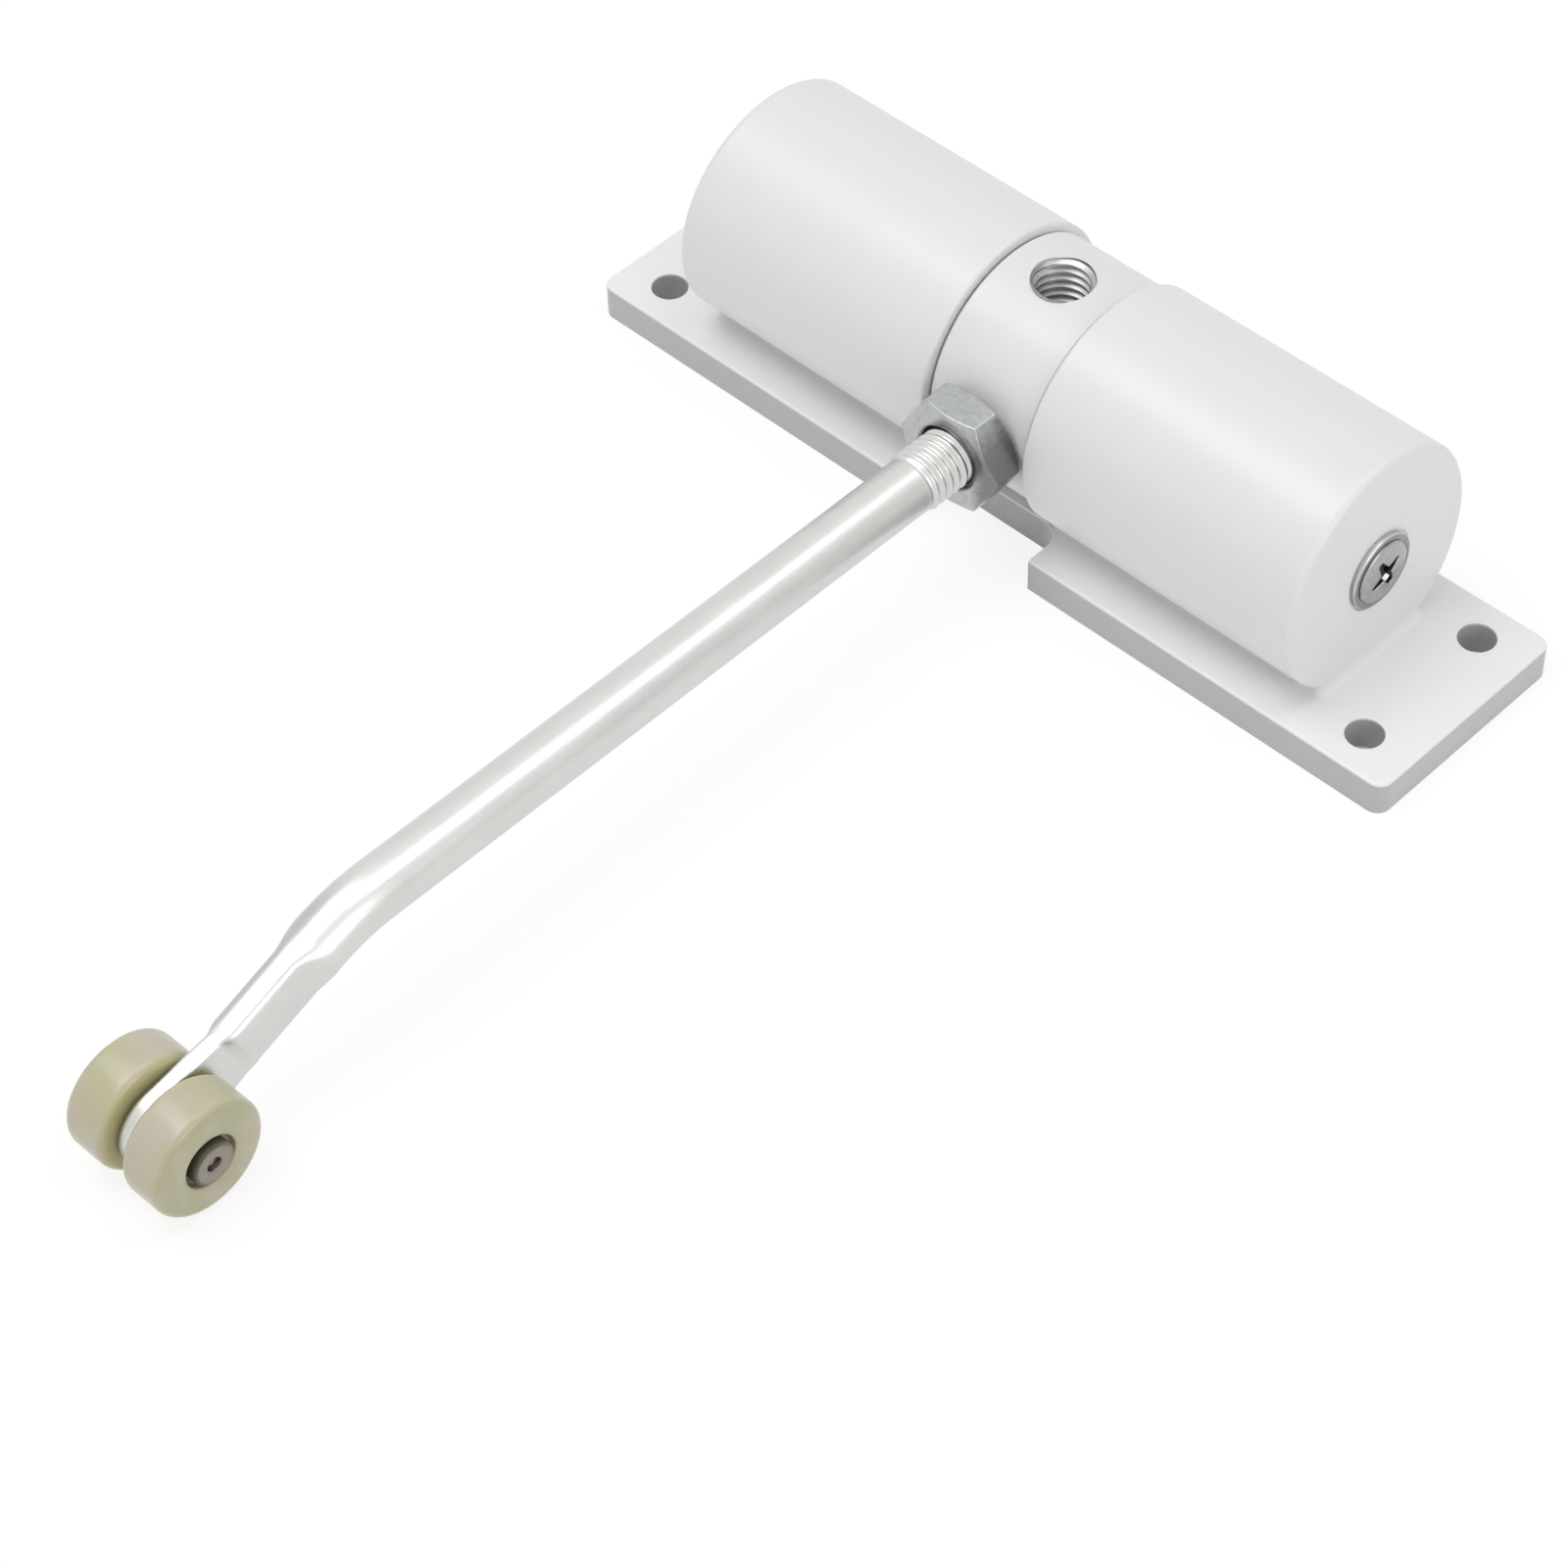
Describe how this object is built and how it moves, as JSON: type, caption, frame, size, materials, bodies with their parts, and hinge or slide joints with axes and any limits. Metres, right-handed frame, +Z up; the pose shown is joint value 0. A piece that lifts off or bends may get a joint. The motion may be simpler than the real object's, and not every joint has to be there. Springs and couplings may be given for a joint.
{
  "type": "spring door closer",
  "caption": "Surface-mounted spring door closer with a slotted barrel between two housings and a screwed-in bent arm that ends in a pair of rollers.",
  "frame": {"origin": "centre of the mounting plate's underside, in the middle of the four screw holes", "axes": "+X along the barrel's axis, +Y to the back, away from the arm, +Z up off the mounting plate"},
  "size_m": [0.16, 0.2101, 0.0435],
  "materials": {
    "white_paint": "white satin paint on a casting",
    "barrel_paint": "white satin paint",
    "steel": "turned",
    "zinc": "bright zinc plate",
    "arm_steel": "satin plated",
    "sleeve_plastic": "moulded",
    "spring_steel": "drawn and oiled",
    "nylon": "natural nylon, slightly see-through"
  },
  "bodies": {
    "housing": {"housing": "white_paint", "spindle": "steel", "end_screws": "zinc", "end_washers": "zinc", "left_sleeve": "sleeve_plastic", "right_sleeve": "sleeve_plastic", "left_spring": "spring_steel", "right_spring": "spring_steel"},
    "arm": {"barrel": "barrel_paint", "arm": "arm_steel", "lock_nut": "zinc", "roller_pin": "steel"},
    "right_roller": {"right_roller": "nylon"},
    "left_roller": {"left_roller": "nylon"}
  },
  "joints": [
    {"name": "arm_swing", "type": "hinge", "parent": "housing", "child": "arm", "pos_m": [0, 0, 0.0235], "axis": [-1, 0, 0], "range_deg": [-15, 110], "stiffness_Nm_per_rad": 3.56, "springref_deg": 1.15, "deforming": ["left_spring", "right_spring"]},
    {"name": "right_roller_spin", "type": "hinge", "parent": "arm", "child": "right_roller", "pos_m": [0.0058, -0.1806, 0.0098], "axis": [1, 0, 0], "continuous": true},
    {"name": "left_roller_spin", "type": "hinge", "parent": "arm", "child": "left_roller", "pos_m": [-0.0058, -0.1806, 0.0098], "axis": [1, 0, 0], "continuous": true}
  ]
}
